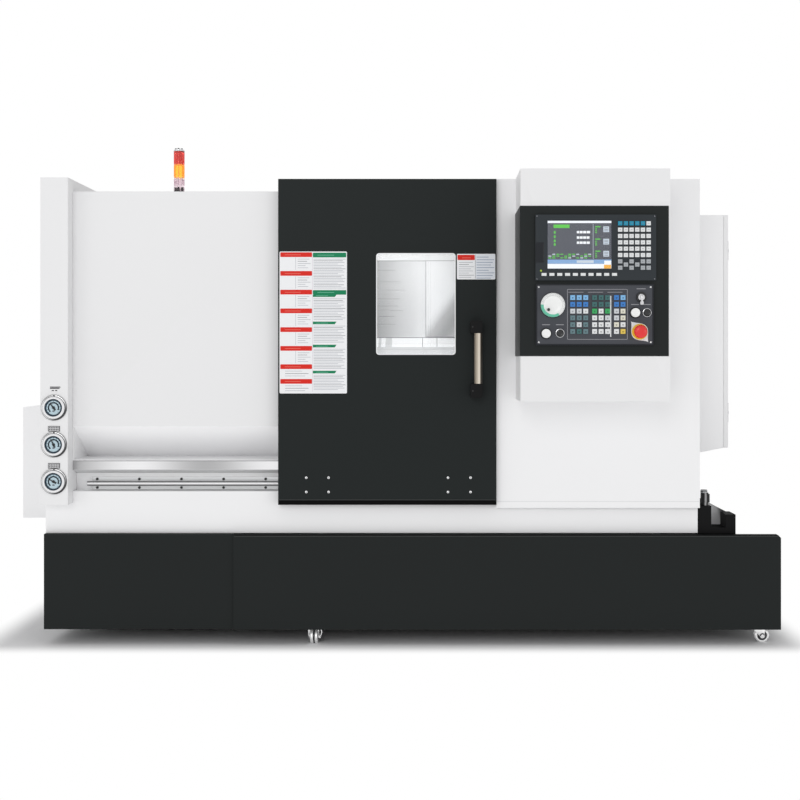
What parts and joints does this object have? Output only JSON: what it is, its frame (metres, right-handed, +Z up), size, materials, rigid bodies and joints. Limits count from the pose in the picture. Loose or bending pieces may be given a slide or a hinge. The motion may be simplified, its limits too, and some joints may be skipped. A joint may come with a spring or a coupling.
{
  "type": "cnc turning lathe",
  "caption": "Enclosed slant-bed turning lathe with a sliding front door on a round rail, operator console, stack light and a roll-out coolant tank.",
  "frame": {"origin": "on the floor under the middle of the machine's outer box", "axes": "+X to the operator's right along the spindle, -Y towards the operator, +Z up"},
  "size_m": [2.712, 1.6, 1.797],
  "materials": {
    "white_paint": "smooth powder coat, satin",
    "black_paint": "smooth powder coat, satin",
    "stainless": "brushed along its length",
    "rail_metal": "satin",
    "window_glass": "clear",
    "handle_metal": "champagne anodised",
    "black_plastic": "fine grain",
    "unit_plastic": "fine grain",
    "panel_paint": "satin",
    "screen_glass": "anti-glare",
    "key_plastic": "satin",
    "white_plastic": "gloss",
    "red_plastic": "gloss",
    "switch_metal": "polished",
    "gauge_metal": "polished",
    "lens_clear": "ribbed",
    "lens_amber": "ribbed",
    "lens_red": "ribbed",
    "cast_bed": "painted grey, ground ways",
    "foot_steel": "blackened steel",
    "machined_steel": "ground",
    "motor_paint": "satin",
    "belt_rubber": "matt",
    "caster_steel": "zinc plated",
    "caster_tyre": "white rubber"
  },
  "bodies": {
    "enclosure": {"bed_casting": "cast_bed", "levelling_feet": "foot_steel", "base_skirt": "black_paint", "lower_front_panel": "white_paint", "left_front_panel": "white_paint", "left_end_cover": "white_paint", "right_cover": "white_paint", "rear_cover": "white_paint", "side_box": "white_paint", "electrical_cabinet": "white_paint", "rail_hood": "stainless", "door_rail": "rail_metal", "upper_door_track": "rail_metal", "way_cover_fixed": "stainless", "headstock": "cast_bed", "spindle_motor": "motor_paint", "drive_belt": "belt_rubber", "anchor_bracket": "black_paint", "pressure_gauges": "gauge_metal", "console_box": "white_paint", "console_bezel": "black_paint", "display_unit": "unit_plastic", "screen": "screen_glass", "display_keys": "key_plastic", "operator_panel": "panel_paint", "panel_keys": "key_plastic", "stack_light_base": "black_plastic", "stack_lens_clear": "lens_clear", "stack_lens_amber": "lens_amber", "stack_lens_red": "lens_red"},
    "cabinet_door": {"cabinet_door": "white_paint"},
    "front_door": {"front_door": "black_paint", "door_window": "window_glass", "door_handle": "handle_metal", "door_handle_mounts": "black_plastic", "door_bearing_blocks": "rail_metal"},
    "spindle": {"spindle": "machined_steel", "chuck_body": "machined_steel"},
    "jaw_1": {"chuck_jaw_1": "machined_steel"},
    "jaw_2": {"chuck_jaw_2": "machined_steel"},
    "jaw_3": {"chuck_jaw_3": "machined_steel"},
    "motor_pulley": {"motor_pulley": "machined_steel"},
    "saddle": {"saddle": "cast_bed", "way_cover_moving": "stainless"},
    "middle_cover": {"way_cover_middle": "stainless"},
    "cross_slide": {"cross_slide": "cast_bed"},
    "turret": {"turret_disc": "machined_steel"},
    "start_button": {"start_button": "white_plastic"},
    "stop_button": {"stop_button": "black_plastic"},
    "ready_button": {"ready_button": "white_plastic"},
    "power_button": {"power_button": "black_plastic"},
    "estop_button": {"estop_button": "red_plastic"},
    "key_switch": {"key_switch": "switch_metal"},
    "handwheel": {"handwheel": "white_plastic"},
    "coolant_tank": {"coolant_tank": "black_paint", "coolant_pump": "motor_paint"},
    "fork_left": {"caster_fork_left": "caster_steel"},
    "wheel_left": {"caster_wheel_left": "caster_tyre"},
    "fork_right": {"caster_fork_right": "caster_steel"},
    "wheel_right": {"caster_wheel_right": "caster_tyre"}
  },
  "joints": [
    {"name": "door_slide", "type": "slide", "parent": "enclosure", "child": "front_door", "axis": [-1, 0, 0], "range_m": [0, 0.72]},
    {"name": "cabinet_hinge", "type": "hinge", "parent": "enclosure", "child": "cabinet_door", "pos_m": [1.234, 0.7, 1.1], "axis": [0, 0, 1], "range_deg": [0, 110]},
    {"name": "spindle_spin", "type": "hinge", "parent": "enclosure", "child": "spindle", "pos_m": [-0.3, -0.18, 0.925], "axis": [1, 0, 0], "continuous": true},
    {"name": "motor_spin", "type": "hinge", "parent": "enclosure", "child": "motor_pulley", "pos_m": [-1, 0.33, 0.7], "axis": [1, 0, 0], "continuous": true},
    {"name": "jaw_1_slide", "type": "slide", "parent": "spindle", "child": "jaw_1", "axis": [0, 0, -1], "range_m": [0, 0.0037]},
    {"name": "jaw_2_slide", "type": "slide", "parent": "spindle", "child": "jaw_2", "axis": [0, 0.866, 0.5], "range_m": [0, 0.0037]},
    {"name": "jaw_3_slide", "type": "slide", "parent": "spindle", "child": "jaw_3", "axis": [0, -0.866, 0.5], "range_m": [0, 0.0037]},
    {"name": "saddle_slide", "type": "slide", "parent": "enclosure", "child": "saddle", "axis": [-1, 0, 0], "range_m": [0, 0.36]},
    {"name": "middle_cover_slide", "type": "slide", "parent": "enclosure", "child": "middle_cover", "axis": [-1, 0, 0], "range_m": [0, 0.227]},
    {"name": "cross_feed", "type": "slide", "parent": "saddle", "child": "cross_slide", "axis": [0, -0.4226, -0.9063], "range_m": [0, 0.14]},
    {"name": "turret_index", "type": "hinge", "parent": "cross_slide", "child": "turret", "pos_m": [0.35, -0.05, 1.215], "axis": [1, 0, 0], "continuous": true},
    {"name": "start_button_press", "type": "slide", "parent": "enclosure", "child": "start_button", "axis": [0, 1, 0], "range_m": [0, 0.003], "stiffness_N_per_m": 600},
    {"name": "stop_button_press", "type": "slide", "parent": "enclosure", "child": "stop_button", "axis": [0, 1, 0], "range_m": [0, 0.003], "stiffness_N_per_m": 600},
    {"name": "ready_button_press", "type": "slide", "parent": "enclosure", "child": "ready_button", "axis": [0, 1, 0], "range_m": [0, 0.003], "stiffness_N_per_m": 600},
    {"name": "power_button_press", "type": "slide", "parent": "enclosure", "child": "power_button", "axis": [0, 1, 0], "range_m": [0, 0.003], "stiffness_N_per_m": 600},
    {"name": "estop_press", "type": "slide", "parent": "enclosure", "child": "estop_button", "axis": [0, 1, 0], "range_m": [0, 0.006]},
    {"name": "key_turn", "type": "hinge", "parent": "enclosure", "child": "key_switch", "pos_m": [0.825, -0.78, 1.209], "axis": [0, 1, 0], "range_deg": [0, 90]},
    {"name": "handwheel_turn", "type": "hinge", "parent": "enclosure", "child": "handwheel", "pos_m": [0.532, -0.78, 1.183], "axis": [0, 1, 0], "continuous": true},
    {"name": "tank_slide", "type": "slide", "parent": "enclosure", "child": "coolant_tank", "axis": [0, -1, 0], "range_m": [0, 0.5]},
    {"name": "fork_left_swivel", "type": "hinge", "parent": "coolant_tank", "child": "fork_left", "pos_m": [-0.284, -0.48, 0.05], "axis": [0, 0, 1], "continuous": true},
    {"name": "fork_right_swivel", "type": "hinge", "parent": "coolant_tank", "child": "fork_right", "pos_m": [1.283, -0.48, 0.05], "axis": [0, 0, 1], "continuous": true},
    {"name": "wheel_left_spin", "type": "hinge", "parent": "fork_left", "child": "wheel_left", "pos_m": [-0.284, -0.498, 0.0255], "axis": [1, 0, 0], "continuous": true},
    {"name": "wheel_right_spin", "type": "hinge", "parent": "fork_right", "child": "wheel_right", "pos_m": [1.301, -0.48, 0.0255], "axis": [0, 1, 0], "continuous": true}
  ],
  "couplings": [
    {"joint": "motor_spin", "follows": "spindle_spin", "ratio": 1.5},
    {"joint": "middle_cover_slide", "follows": "saddle_slide", "ratio": 0.63},
    {"joint": "jaw_2_slide", "follows": "jaw_1_slide", "ratio": 1},
    {"joint": "jaw_3_slide", "follows": "jaw_1_slide", "ratio": 1}
  ]
}
